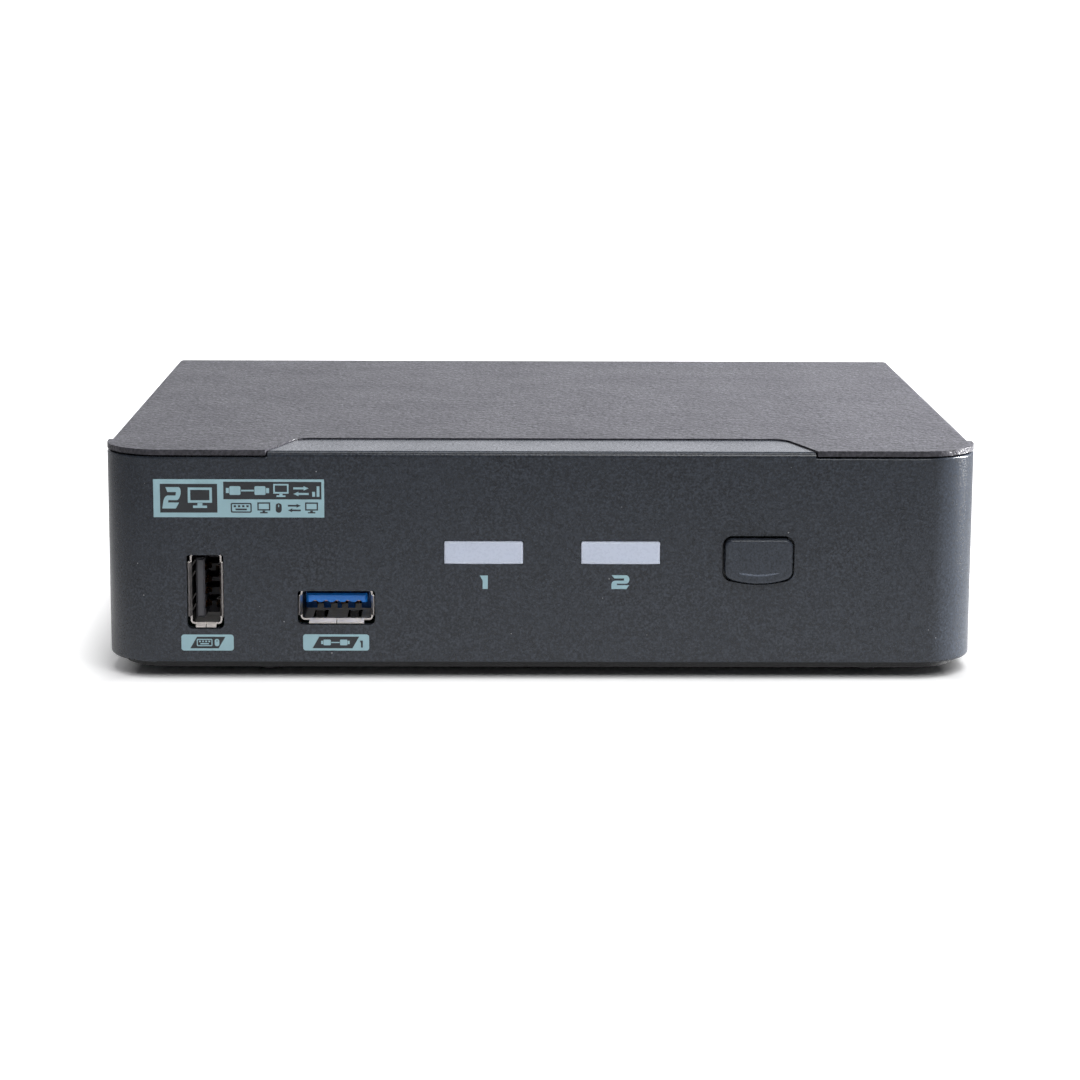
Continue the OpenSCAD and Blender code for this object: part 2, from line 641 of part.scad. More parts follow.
module dp_pc2_insulator() dp_insulator(dp_x[2]);

// USB type-B opening in front view: square part with cut upper corners and a smaller part on top
module usb_b_outline(g) {
  w = 4.25 + g;
  low = 1.5 - g;
  mid = 8.6 + g;
  top = 11.5 + g;
  polygon([[-w, low], [w, low], [w, mid - 1.7], [w - 1.6, mid], [2.8 + g, mid], [2.8 + g, top],
           [-2.8 - g, top], [-2.8 - g, mid], [1.6 - w, mid], [-w, mid - 1.7]]);
}
usb_b_len = 16;
module usb_b_shell(x) color(nickel) difference() {
  block(x - usb_b.x/2, x + usb_b.x/2, rear_out - usb_b_len, rear_out, board_z, board_z + usb_b.y);
  block(x - usb_b.x/2 + usb_t, x + usb_b.x/2 - usb_t, rear_out - usb_b_len - 1, rear_out - usb_t,
    board_z + usb_t, board_z + usb_b.y - usb_t);
  in_front(rear_out - 2, rear_out + 1) translate([x, board_z]) usb_b_outline(0);
}
module usb_b_insulator(x) color(blue) {
  g = usb_t + 0.06;
  difference() {
    block(x - usb_b.x/2 + g, x + usb_b.x/2 - g, rear_out - usb_b_len, rear_out - g, board_z + g, board_z + usb_b.y - g);
    in_front(rear_out - 9, rear_out + 1) translate([x, board_z]) usb_b_outline(0.01);
  }
  block(x - 2.8, x + 2.8, rear_out - 9.02, rear_out - 1.6, board_z + 3.6, board_z + 6.6);
  block(x - 2.3, x + 2.3, rear_out - 9.02, rear_out - 1.6, board_z + 9.3, board_z + 10.4);
}
module usb_b_pc1_shell() usb_b_shell(usb_b_x[0]);
module usb_b_pc1_insulator() usb_b_insulator(usb_b_x[0]);
module usb_b_pc2_shell() usb_b_shell(usb_b_x[1]);
module usb_b_pc2_insulator() usb_b_insulator(usb_b_x[1]);

// ---------- parts on the main board ----------

video_pos = [0, 10];
module chip(p, w, h) translate([p.x, p.y, board_z + h/2 + eps]) difference() {
  cube([w, w, h], center = true);
  translate([1.2 - w/2, w/2 - 1.2, h/2]) cylinder(r = 0.5, h = 0.3, center = true);
}
module video_switch_chip() color(chip_grey) chip(video_pos, 19, 1.6);
module usb_hub_chip() color(chip_grey) chip([-34, 6], 9, 1);
module control_chip() color(chip_grey) chip([34, 2], 12, 1.4);

module heat_sink() color([0.7, 0.7, 0.72]) {
  n = 9;
  w = 26;
  translate([video_pos.x, video_pos.y, board_z + 1.65]) {
    translate([-w/2, -w/2, 0]) cube([w, w, 2.2]);
    for (i = [0:n - 1]) translate([-w/2 + i*(w - 1)/(n - 1), -w/2, 2.2 - eps]) cube([1, w, 9]);
  }
}

module crystal() color(nickel) translate([-34, 18, board_z + eps]) linear_extrude(3.5) rounded(11, 4.6, 2.29);

module capacitors() color([0.15, 0.15, 0.3])
  for (p = [[60, 14], [60, 26], [48, 26]]) translate([p.x, p.y, board_z + eps]) cylinder(r = 4, h = 11);

module inductor() color(chip_grey) translate([48, 13, board_z + eps]) linear_extrude(4.5) rounded(9, 9, 2);

module buzzer() color(plastic_black) translate([-56, 20, board_z + eps]) difference() {
  cylinder(r = 6, h = 8.5);
  translate([0, 0, 7]) cylinder(r = 1.2, h = 3);
}

// ---------- one line per node ----------

front_bezel();
top_cover();
base_tray();
rubber_feet();
cover_screws();
bezel_screws();
board_standoffs();
board_screws();
main_board();
front_board();
link_header();
link_pins();
port_window_1();
port_window_2();
status_leds();
button_cap();
switch_body();
switch_plunger();
hid_shell();
hid_insulator();
hid_contacts();
usb3_shell();
usb3_insulator();
usb3_contacts();
dc_jack();
dc_pin();
audio_jack_console();
mic_jack_console();
audio_jack_pc1();
audio_jack_pc2();
usb_stack_shell();
usb_stack_insulators();
usb_stack_contacts();
dp_console_shell();
dp_console_insulator();
dp_pc1_shell();
dp_pc1_insulator();
dp_pc2_shell();
dp_pc2_insulator();
usb_b_pc1_shell();
usb_b_pc1_insulator();
usb_b_pc2_shell();
usb_b_pc2_insulator();
video_switch_chip();
heat_sink();
usb_hub_chip();
control_chip();
crystal();
capacitors();
inductor();
buzzer();
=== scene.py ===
import json
import math

import bmesh
import bpy
from mathutils import Matrix, Vector

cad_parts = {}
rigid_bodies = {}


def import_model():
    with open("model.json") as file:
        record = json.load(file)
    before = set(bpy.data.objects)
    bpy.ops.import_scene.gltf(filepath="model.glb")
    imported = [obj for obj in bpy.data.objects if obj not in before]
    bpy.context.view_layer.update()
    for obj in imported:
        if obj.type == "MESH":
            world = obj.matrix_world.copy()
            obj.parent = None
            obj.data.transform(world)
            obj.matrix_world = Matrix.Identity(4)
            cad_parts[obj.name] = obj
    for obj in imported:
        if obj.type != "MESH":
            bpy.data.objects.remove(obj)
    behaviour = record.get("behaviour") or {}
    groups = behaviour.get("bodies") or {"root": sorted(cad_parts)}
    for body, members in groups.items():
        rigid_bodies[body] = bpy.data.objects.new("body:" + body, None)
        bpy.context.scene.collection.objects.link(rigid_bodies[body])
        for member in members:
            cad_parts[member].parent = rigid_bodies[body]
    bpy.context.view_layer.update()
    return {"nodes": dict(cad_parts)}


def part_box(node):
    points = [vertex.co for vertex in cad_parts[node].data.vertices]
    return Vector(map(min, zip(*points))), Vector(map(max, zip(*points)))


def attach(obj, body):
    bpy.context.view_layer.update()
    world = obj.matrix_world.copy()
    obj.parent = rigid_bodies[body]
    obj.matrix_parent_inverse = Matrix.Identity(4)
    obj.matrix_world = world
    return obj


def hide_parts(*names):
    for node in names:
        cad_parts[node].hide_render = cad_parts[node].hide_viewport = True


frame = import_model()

MM = 0.001
NODES = frame["nodes"]


# ------------------------------------------------------------ camera

def look(pos, pitch, yaw, roll, lens):
    """Camera at pos, tilted down by pitch, turned towards +X by yaw, rolled, all in degrees."""
    p, w, r = (math.radians(v) for v in (pitch, yaw, roll))
    fwd = Vector((math.sin(w) * math.cos(p), math.cos(w) * math.cos(p), -math.sin(p)))
    right = Vector((math.cos(w), -math.sin(w), 0))
    up = right.cross(fwd)
    right2 = math.cos(r) * right + math.sin(r) * up
    up2 = -math.sin(r) * right + math.cos(r) * up
    data = bpy.data.cameras.new("camera")
    data.lens = lens
    data.sensor_width = 36
    data.clip_start = 0.02
    cam = bpy.data.objects.new("camera", data)
    cam.matrix_world = Matrix.Translation(pos) @ Matrix((right2, up2, -fwd)).transposed().to_4x4()
    bpy.context.collection.objects.link(cam)
    bpy.context.scene.camera = cam


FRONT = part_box("front_bezel")[0][1]              # the bezel's front face
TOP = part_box("front_bezel")[1][2]                # top of its raised tongue
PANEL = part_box("base_tray")[1][1]                # outside of the rear panel
MOUTH = 0.0014                                   # how far the front sockets' mouths sit behind the face
look(Vector((-0.00767, FRONT - 0.53388, 0.12298)), 10.31, 0.79, 0.256, 100)


# ------------------------------------------------------------ node helpers

def new_mat(name):
    m = bpy.data.materials.new(name)
    m.use_nodes = True
    t = m.node_tree
    return m, t, t.nodes["Principled BSDF"]


def add(t, kind, **values):
    n = t.nodes.new(kind)
    for k, v in values.items():
        if k in n.inputs:
            n.inputs[k].default_value = v
        else:
            setattr(n, k, v)
    return n


def link(t, a, b):
    t.links.new(a, b)


def coords(t):
    return add(t, "ShaderNodeTexCoord").outputs["Object"]


def noise(t, vec, size_mm, detail=3.0, rough=0.55):
    n = add(t, "ShaderNodeTexNoise", Scale=1.0 / (size_mm * MM), Detail=detail, Roughness=rough)
    link(t, vec, n.inputs["Vector"])
    return n.outputs["Fac"]


def cells(t, vec, size_mm):
    n = add(t, "ShaderNodeTexVoronoi", Scale=1.0 / (size_mm * MM))
    link(t, vec, n.inputs["Vector"])
    return n


def remap(t, fac, lo, hi, a=0.0, b=1.0):
    n = add(t, "ShaderNodeMapRange")
    n.inputs["From Min"].default_value = lo
    n.inputs["From Max"].default_value = hi
    n.inputs["To Min"].default_value = a
    n.inputs["To Max"].default_value = b
    link(t, fac, n.inputs["Value"])
    return n.outputs["Result"]


def math_node(t, op, a, b):
    n = add(t, "ShaderNodeMath", operation=op)
    for i, v in enumerate((a, b)):
        if hasattr(v, "is_linked"):
            link(t, v, n.inputs[i])
        else:
            n.inputs[i].default_value = v
    return n.outputs[0]


def mix(t, fac, a, b):
    n = add(t, "ShaderNodeMix", data_type="RGBA")
    if hasattr(fac, "is_linked"):
        link(t, fac, n.inputs[0])
    else:
        n.inputs[0].default_value = fac
    for i, v in ((6, a), (7, b)):
        if hasattr(v, "is_linked"):
            link(t, v, n.inputs[i])
        else:
            n.inputs[i].default_value = (*v, 1)
    return n.outputs[2]


def bump(t, height, depth_mm):
    n = add(t, "ShaderNodeBump", Strength=1.0, Distance=depth_mm * MM)
    link(t, height, n.inputs["Height"])
    return n.outputs["Normal"]


def shade(c, k):
    return tuple(min(1.0, v * k) for v in c)


# ------------------------------------------------------------ materials

def grained(name, base, rough, grain_mm, depth_mm, contrast=0.25, coarse=0.0, dust=0.0, tongue=False):
    """Moulded or powder coated grain, with a coarser ripple and rare dust specks."""
    m, t, p = new_mat(name)
    v = coords(t)
    fine = noise(t, v, grain_mm, 2.0, 0.6)
    wide = noise(t, v, 14, 3.0)
    cell = cells(t, v, grain_mm * 1.15).outputs["Distance"]
    tone = remap(t, fine, 0.3, 0.7, 0, 1)
    col = mix(t, tone, shade(base, 1 - contrast), shade(base, 1 + contrast))
    col = mix(t, remap(t, wide, 0.3, 0.75, 0, 0.35), col, shade(base, 1.12))
    if dust:
        far = cells(t, v, 4.6)
        dot = remap(t, far.outputs["Distance"], 0.018 * dust, 0.03 * dust, 1, 0)
        col = mix(t, math_node(t, "MULTIPLY", dot, 0.55), col, (0.5, 0.5, 0.52))
    r = math_node(t, "ADD", remap(t, fine, 0.3, 0.7, rough + 0.09, rough - 0.09),
                  remap(t, wide, 0.3, 0.7, -0.03, 0.03))
    h = math_node(t, "ADD", fine, math_node(t, "MULTIPLY", cell, -0.5))
    if coarse:
        swell = noise(t, v, 1.25, 2.0, 0.5)
        h = math_node(t, "ADD", h, math_node(t, "MULTIPLY", swell, coarse / depth_mm))
    if tongue:                                  # the top of the raised tongue is smoother and a little duller
        place = add(t, "ShaderNodeSeparateXYZ")
        link(t, v, place.inputs[0])
        top = remap(t, place.outputs["Z"], TOP - 0.0003, TOP - 0.0001)
        r = math_node(t, "ADD", r, math_node(t, "MULTIPLY", top, 0.05))
        h = math_node(t, "MULTIPLY", h, math_node(t, "SUBTRACT", 1.0, math_node(t, "MULTIPLY", top, 0.15)))
    link(t, col, p.inputs["Base Color"])
    link(t, r, p.inputs["Roughness"])
    link(t, bump(t, h, depth_mm), p.inputs["Normal"])
    return m


def plastic(name, base, rough, grain_mm=0.25, depth_mm=0.006, coat=0.0, sub=0.0, vary=0.08):
    m, t, p = new_mat(name)
    v = coords(t)
    fine = noise(t, v, grain_mm, 3.0)
    wide = noise(t, v, 3.5, 3.0)
    col = mix(t, remap(t, wide, 0.3, 0.7), shade(base, 1 - vary), shade(base, 1 + vary))
    link(t, col, p.inputs["Base Color"])
    link(t, remap(t, fine, 0.3, 0.7, rough - 0.05, rough + 0.06), p.inputs["Roughness"])
    link(t, bump(t, fine, depth_mm), p.inputs["Normal"])
    if coat:
        p.inputs["Coat Weight"].default_value = coat
        p.inputs["Coat Roughness"].default_value = 0.12
    if sub:
        p.inputs["Subsurface Weight"].default_value = sub
        p.inputs["Subsurface Radius"].default_value = (1, 1, 1)
        p.inputs["Subsurface Scale"].default_value = 0.0012
    return m


def metal(name, base, rough, brush_mm=0.12, depth_mm=0.003, stretch=(1, 1, 1), painted_shade_from=None):
    """Brushed or plated metal; past the given depth in Y its colour is painted almost black, a painted shade
    inside the sockets.
    """
    m, t, p = new_mat(name)
    v = coords(t)
    mp = add(t, "ShaderNodeMapping")
    mp.inputs["Scale"].default_value = stretch
    link(t, v, mp.inputs["Vector"])
    fine = noise(t, mp.outputs["Vector"], brush_mm, 4.0)
    wide = noise(t, v, 2.2, 3.0)
    col = mix(t, remap(t, wide, 0.3, 0.7), shade(base, 0.9), shade(base, 1.1))
    if painted_shade_from is not None:
        place = add(t, "ShaderNodeSeparateXYZ")
        link(t, v, place.inputs[0])
        # painted shade: behind the sockets' mouths the metal's colour drops to 3 % of its base
        col = mix(t, remap(t, place.outputs["Y"], painted_shade_from, painted_shade_from + 0.0003), col, shade(base, 0.03))
    link(t, col, p.inputs["Base Color"])
    both = math_node(t, "ADD", fine, wide)
    link(t, remap(t, both, 0.7, 1.3, rough - 0.07, rough + 0.1), p.inputs["Roughness"])
    link(t, bump(t, fine, depth_mm), p.inputs["Normal"])
    p.inputs["Metallic"].default_value = 1.0
    return m


def circuit(name):
    """Solder mask with copper tracks showing through as lighter lines."""
    m, t, p = new_mat(name)
    v = coords(t)
    block = cells(t, v, 3.2)
    block.distance = "MANHATTAN"
    rows = math_node(t, "FRACT", math_node(t, "MULTIPLY", block.outputs["Distance"], 5.0), 0.0)
    track = remap(t, rows, 0.38, 0.45, 0, 1)
    col = mix(t, track, (0.006, 0.05, 0.022), (0.012, 0.085, 0.035))
    pads = remap(t, cells(t, v, 2.1).outputs["Distance"], 0.10, 0.13, 1, 0)
    link(t, mix(t, pads, col, (0.5, 0.42, 0.25)), p.inputs["Base Color"])
    link(t, bump(t, track, 0.02), p.inputs["Normal"])
    p.inputs["Roughness"].default_value = 0.3
    return m


CHARCOAL = (0.0275, 0.033, 0.0435)
M = {
    "bezel": grained("bezel_grain", CHARCOAL, 0.21, 0.42, 0.024, 0.7, dust=1.0, tongue=True),
    "cover": grained("cover_grain", (0.042, 0.0405, 0.050), 0.38, 0.55, 0.10, 0.7, coarse=0.22),
    "tray": grained("tray_grain", (0.012, 0.013, 0.014), 0.5, 0.35, 0.03, 0.3),
    "button": grained("button_grain", shade(CHARCOAL, 1.3), 0.33, 0.38, 0.024, 0.6, dust=0.7),
    # painted highlight: the finger ridge is coloured 3.8 times the charcoal, much lighter than the cap around
    # it
    "ridge": grained("ridge_painted_highlight", shade(CHARCOAL, 3.8), 0.25, 0.3, 0.05, 0.9),
    "rubber": plastic("foot_rubber", (0.012, 0.012, 0.012), 0.75, 0.2, 0.02),
    "window": plastic("window_milk", (0.66, 0.72, 0.86), 0.28, 0.5, 0.002, coat=0.25, sub=0.25, vary=0.015),
    "led": plastic("led_lens", (0.8, 0.78, 0.6), 0.2),
    "grey": plastic("grey_nylon", (0.075, 0.075, 0.084), 0.4),
    "black": plastic("black_nylon", (0.014, 0.014, 0.016), 0.42),
    "ivory": plastic("ivory_nylon", (0.5, 0.46, 0.36), 0.4),
    "blue": plastic("blue_nylon", (0.015, 0.22, 0.76), 0.3, coat=0.2),
    "green": plastic("lime_nylon", (0.16, 0.42, 0.06), 0.35, coat=0.2),
    "pink": plastic("pink_nylon", (0.62, 0.14, 0.24), 0.35, coat=0.2),
    "chip": grained("chip_resin", (0.016, 0.016, 0.017), 0.5, 0.1, 0.01, 0.3),
    "cap": plastic("can_sleeve", (0.012, 0.016, 0.05), 0.3, coat=0.3),
    "nickel": metal("nickel_sheet", (0.78, 0.73, 0.70), 0.36, 0.2, 0.004),
    # painted shade: the front sockets' shells are painted almost black behind their mouths
    "nickelfront": metal("nickel_lips_painted_shade", (0.80, 0.75, 0.72), 0.36, 0.2, 0.004, painted_shade_from=FRONT + MOUTH),
    "gold": metal("gold_contact", (0.85, 0.58, 0.24), 0.25),
    "bronze": metal("bronze_contact", (0.46, 0.27, 0.13), 0.3),
    "brass": metal("brass_turned", (0.66, 0.47, 0.2), 0.3),
    "steel": metal("steel_bright", (0.55, 0.55, 0.55), 0.28),
    "blackscrew": metal("black_oxide", (0.05, 0.05, 0.053), 0.38),
    "sink": metal("sink_aluminium", (0.62, 0.62, 0.64), 0.35, stretch=(1, 0.08, 1)),
    "pcb": circuit("solder_mask"),
    "ink": plastic("label_ink", (0.37, 0.57, 0.63), 0.5, 0.2, 0.004, vary=0.05),
    "inkdark": plastic("label_ground", (0.030, 0.033, 0.038), 0.5, 0.2, 0.004, vary=0.1),
    "inkwhite": plastic("rear_ink", (0.55, 0.56, 0.57), 0.5, 0.2, 0.004, vary=0.05),
}

LOOKS = {
    "bezel": ["front_bezel"],
    "cover": ["top_cover"],
    "tray": ["base_tray"],
    "button": ["button_cap"],
    "rubber": ["rubber_feet"],
    "window": ["port_window_1", "port_window_2"],
    "led": ["status_leds"],
    "black": ["link_header", "switch_body", "dc_jack", "usb_stack_insulators",
              "dp_console_insulator", "dp_pc1_insulator", "dp_pc2_insulator", "buzzer"],
    "grey": ["hid_insulator"],
    "ivory": ["switch_plunger"],
    "blue": ["usb3_insulator", "usb_b_pc1_insulator", "usb_b_pc2_insulator"],
    "green": ["audio_jack_console", "audio_jack_pc1", "audio_jack_pc2"],
    "pink": ["mic_jack_console"],
    "chip": ["video_switch_chip", "usb_hub_chip", "control_chip", "inductor"],
    "cap": ["capacitors"],
    "nickelfront": ["hid_shell", "usb3_shell"],
    "nickel": ["usb_stack_shell", "dp_console_shell", "dp_pc1_shell", "dp_pc2_shell",
               "usb_b_pc1_shell", "usb_b_pc2_shell"],
    "gold": ["usb_stack_contacts", "link_pins"],
    "bronze": ["hid_contacts", "usb3_contacts"],
    "brass": ["board_standoffs"],
    "steel": ["board_screws", "dc_pin", "crystal"],
    "blackscrew": ["cover_screws", "bezel_screws"],
    "sink": ["heat_sink"],
    "pcb": ["main_board", "front_board"],
}
for key, names in LOOKS.items():
    for n in names:
        o = NODES[n]
        o.data.materials.clear()
        o.data.materials.append(M[key])


# ------------------------------------------------------------ shapes shared by the detail pieces

def arc(cx, cz, r, a0, a1, n):
    """Points on a circle from angle a0 to a1, in degrees."""
    return [(cx + r * math.cos(math.radians(a0 + (a1 - a0) * i / n)),
             cz + r * math.sin(math.radians(a0 + (a1 - a0) * i / n))) for i in range(n + 1)]


def rect(x0, z0, x1, z1):
    return [(x0, z0), (x1, z0), (x1, z1), (x0, z1)]


def round_rect(x0, z0, x1, z1, r, n=6):
    return (arc(x1 - r, z0 + r, r, -90, 0, n) + arc(x1 - r, z1 - r, r, 0, 90, n)
            + arc(x0 + r, z1 - r, r, 90, 180, n) + arc(x0 + r, z0 + r, r, 180, 270, n))


def slanted(x0, z0, x1, z1, lean):
    return [(x0, z0), (x1 - lean, z0), (x1, z1), (x0 + lean, z1)]


def finish_mesh(name, bm, mat, body, smooth=True):
    bmesh.ops.recalc_face_normals(bm, faces=bm.faces)
    me = bpy.data.meshes.new(name)
    bm.to_mesh(me)
    bm.free()
    me.materials.append(mat)
    for p in me.polygons:
        p.use_smooth = smooth
    o = bpy.data.objects.new(name, me)
    bpy.context.collection.objects.link(o)
    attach(o, body)
    return o


def ink(name, loops, y, lift, mat, thick=0.012, face=-1):
    """Printed layer on the upright plane y: closed outlines in mm (x, z), an inner outline is a hole."""
    cu = bpy.data.curves.new(name, "CURVE")
    cu.dimensions = "2D"
    cu.fill_mode = "BOTH"
    cu.extrude = thick * MM / 2
    for pts in loops:
        sp = cu.splines.new("POLY")
        sp.points.add(len(pts) - 1)
        for q, (px, pz) in zip(sp.points, pts):
            q.co = (px * MM, pz * MM, 0, 1)
        sp.use_cyclic_u = True
    tmp = bpy.data.objects.new(name + "_outline", cu)
    bpy.context.collection.objects.link(tmp)
    bpy.context.view_layer.update()
    me = bpy.data.meshes.new_from_object(tmp.evaluated_get(bpy.context.evaluated_depsgraph_get()))
    bpy.data.objects.remove(tmp)
    bpy.data.curves.remove(cu)
    bm = bmesh.new()
    bm.from_mesh(me)
    bpy.data.meshes.remove(me)
    out = (lift + thick / 2) * MM
    for v in bm.verts:
        v.co = Vector((v.co.x, y + face * (out - v.co.z), v.co.y))
    bmesh.ops.remove_doubles(bm, verts=bm.verts, dist=1e-7)
    return finish_mesh(name, bm, mat, "housing", smooth=False)


# ------------------------------------------------------------ pictograms, each a list of outlines

def monitor(x, z, s):
    w, t = 1.45 * s, 0.15 * s
    c = x + w / 2
    return [rect(x, z + 0.32 * s, x + w, z + 1.25 * s),
            rect(x + t, z + 0.32 * s + t, x + w - t, z + 1.25 * s - t),
            [(c - t, z + 0.3 * s), (c - t, z + 0.15 * s), (c - 0.42 * s, z + 0.15 * s), (c - 0.42 * s, z),
             (c + 0.42 * s, z), (c + 0.42 * s, z + 0.15 * s), (c + t, z + 0.15 * s), (c + t, z + 0.3 * s)]]


def keyboard(x, z, s):
    t = 0.13 * s
    w, h = 2.1 * s, 1.0 * s
    out = [round_rect(x, z, x + w, z + h, 0.16 * s), round_rect(x + t, z + t, x + w - t, z + h - t, 0.08 * s)]
    for c in range(4):
        kx = x + (0.30 + 0.42 * c) * s
        out.append(rect(kx, z + 0.56 * s, kx + 0.24 * s, z + 0.76 * s))
    out.append(rect(x + 0.48 * s, z + 0.25 * s, x + 1.62 * s, z + 0.42 * s))
    return out


def mouse(x, z, s):
    w = 0.62 * s
    c = x + w / 2
    return [round_rect(x, z, x + w, z + s, w * 0.47),
            rect(c - 0.05 * s, z + 0.6 * s, c + 0.05 * s, z + 0.84 * s)]


def arrow(x, z, s, turn):
    pts = [(0, 0.12), (1.0, 0.12), (1.0, 0), (1.5, 0.22), (1.0, 0.44), (1.0, 0.32), (0, 0.32)]
    return [(x + (px if turn > 0 else 1.5 - px) * s, z + pz * s) for px, pz in pts]


def swap(x, z, s):
    return [arrow(x, z + 0.55 * s, s, 1), arrow(x, z, s, -1)]


def chain(x, z, s):
    """Plug, lead and plug in a row."""
    return [round_rect(x, z + 0.12 * s, x + 0.95 * s, z + 0.88 * s, 0.12 * s),
            rect(x - 0.3 * s, z + 0.28 * s, x - 0.04 * s, z + 0.72 * s),
            rect(x + 1.0 * s, z + 0.43 * s, x + 2.1 * s, z + 0.57 * s),
            round_rect(x + 2.15 * s, z + 0.12 * s, x + 3.1 * s, z + 0.88 * s, 0.12 * s),
            rect(x + 3.14 * s, z + 0.28 * s, x + 3.4 * s, z + 0.72 * s)]


def one(x, z, w, h):
    return [[(x, z + h), (x + w, z + h), (x + w, z), (x + 0.36 * w, z), (x + 0.36 * w, z + 0.63 * h)]]


def two(x, z, w, h, lean=0.0):
    """Numeral made of one broad ribbon with round turns."""
    t = 0.22
    mid = 0.5
    pts = [(0.0, 1.0), (0.80, 1.0)]
    pts += [(0.80 + 0.2 * math.sin(a), 0.69 + 0.31 * math.cos(a))
            for a in [math.pi * i / 8 for i in range(1, 8)]]
    pts += [(0.80, 0.39), (0.30, 0.39), (0.30, 0.28), (0.99, 0.28), (0.84, 0.0), (0.0, 0.0), (0.0, 0.35)]
    pts += [(0.22 - 0.22 * math.cos(a), 0.35 + 0.26 * math.sin(a))
            for a in [math.pi / 2 * i / 5 for i in range(1, 6)]]
    pts += [(0.70, 0.61), (0.70, 0.77), (0.16, 0.77)]
    return [[(x + (px + lean * (pz - mid)) * w, z + pz * h) for px, pz in pts]]


def up(z):
    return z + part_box("front_bezel")[0][2] / MM     # counted from the bezel's lower edge


INK, DARK = M["ink"], M["inkdark"]
ink("digit_1", one(-11.2, up(13.8), 1.46, 2.5), FRONT, 0.004, INK)
ink("digit_2", two(12.7, up(13.84), 3.25, 2.55), FRONT, 0.004, INK)

# main panel: light plate, dark box at the left, dark bar at the upper right
PX0, PX1, PZ0, PZ1 = -70.0, -39.25, up(26.9), up(33.85)
ink("panel_light", [rect(PX0, PZ0, PX1, PZ1)], FRONT, 0.004, INK)
ink("panel_dark", [rect(PX0 + 1.2, PZ0 + 0.85, PX0 + 11.5, PZ1 - 0.85),
                   rect(PX0 + 12.6, PZ0 + 3.3, PX1 - 0.5, PZ1 - 0.45)], FRONT, 0.016, DARK)
ink("panel_box_marks", two(PX0 + 1.9, PZ0 + 1.6, 2.9, 3.9, 0.22) + monitor(PX0 + 6.2, PZ0 + 1.7, 3.0),
    FRONT, 0.03, INK)
ink("panel_bar_marks", chain(PX0 + 13.7, PZ0 + 3.85, 2.1) + monitor(PX0 + 21.6, PZ0 + 3.75, 1.9)
    + swap(PX0 + 25.2, PZ0 + 3.9, 1.85)
    + [rect(PX0 + 28.6, PZ0 + 3.8, PX0 + 29.1, PZ0 + 4.7),
       rect(PX0 + 29.4, PZ0 + 3.8, PX0 + 29.9, PZ0 + 5.7)],
    FRONT, 0.03, INK)
ink("panel_plate_marks", keyboard(PX0 + 13.9, PZ0 + 0.85, 1.8) + monitor(PX0 + 18.7, PZ0 + 0.75, 1.6)
    + mouse(PX0 + 22.0, PZ0 + 0.85, 1.75) + swap(PX0 + 24.2, PZ0 + 0.95, 1.55)
    + monitor(PX0 + 27.3, PZ0 + 0.75, 1.6),
    FRONT, 0.016, DARK)

# labels under the sockets
ink("label_left_light", [round_rect(-65.4, up(2.3), -55.9, up(5.28), 0.5)], FRONT, 0.004, INK)
ink("label_left_dark", [slanted(-63.8, up(2.72), -57.4, up(4.86), 1.25)], FRONT, 0.016, DARK)
ink("label_left_marks", keyboard(-62.6, up(3.12), 1.35) + mouse(-59.35, up(3.12), 1.35),
    FRONT, 0.03, INK)
ink("label_right_light", [round_rect(-43.3, up(2.34), -31.3, up(5.35), 0.5)], FRONT, 0.004, INK)
ink("label_right_dark", [slanted(-41.6, up(2.76), -33.1, up(4.93), 1.25)] + one(-33.0, up(2.9), 0.55, 1.3),
    FRONT, 0.016, DARK)
ink("label_right_marks", chain(-39.6, up(3.15), 1.4), FRONT, 0.03, INK)

# rear panel: a line over each group of sockets, with a sign or a number on it

def behind(loops):
    """Outlines drawn as seen from the back."""
    return [[(-px, pz) for px, pz in pts] for pts in loops]


ink("rear_lines", behind([rect(x0, 29.2, x1, 29.5) for x0, x1 in ((-76, -12.4), (-10.6, 31.2), (33, 76))]),
    PANEL, 0.004, M["inkwhite"], face=1)
ink("rear_marks", behind(monitor(-46.2, 31.0, 2.2) + keyboard(-42.2, 31.4, 1.9) + mouse(-37.4, 31.3, 2.1)
                         + one(9.6, 31.0, 1.5, 2.7) + two(52.6, 31.0, 3.2, 2.7)
                         + monitor(-22.8, 18.4, 1.7) + monitor(-2.6, 18.4, 1.7) + monitor(41.4, 18.4, 1.7)
                         + [round_rect(-71.9, 22.6, -68.9, 25.6, 1.45),
                            round_rect(-71.5, 23.0, -69.3, 25.2, 1.05),
                            round_rect(-70.9, 23.6, -69.9, 24.6, 0.45)]),
    PANEL, 0.004, M["inkwhite"], face=1)


# ------------------------------------------------------------ button cap with a soft rim and a finger ridge

def fillet(p, q, s, r, n=8):
    p, q, s = Vector(p), Vector(q), Vector(s)
    u, v = (p - q).normalized(), (s - q).normalized()
    h = u.angle(v) / 2
    c = q + (u + v).normalized() * r / math.sin(h)
    a, b = q + u * r / math.tan(h) - c, q + v * r / math.tan(h) - c
    sweep = math.atan2(a.x * b.y - a.y * b.x, a.dot(b))
    a0 = math.atan2(a.y, a.x)
    return [(c.x + r * math.cos(a0 + sweep * i / n), c.y + r * math.sin(a0 + sweep * i / n))
            for i in range(n + 1)]


def cap_outline(w, t, bow, grow):
    """Half widths w and t; the lower edge is bowed downwards."""
    w, t = w + grow, t + grow
    low = lambda x: -t + bow * (x / w) ** 2
    right = (fillet((0, t), (w, t), (w, 0), 1.5 + grow)
             + fillet((w, 0), (w, low(w)), (3.6, low(3.6)), 1.7 + grow))
    x1 = right[-1][0]
    bowed = [(x, low(x)) for x in [x1 * (1 - i / 8) for i in range(1, 8)]]
    half = right + bowed
    return half + [(0.0, low(0.0))] + [(-x, z) for x, z in reversed(half)]


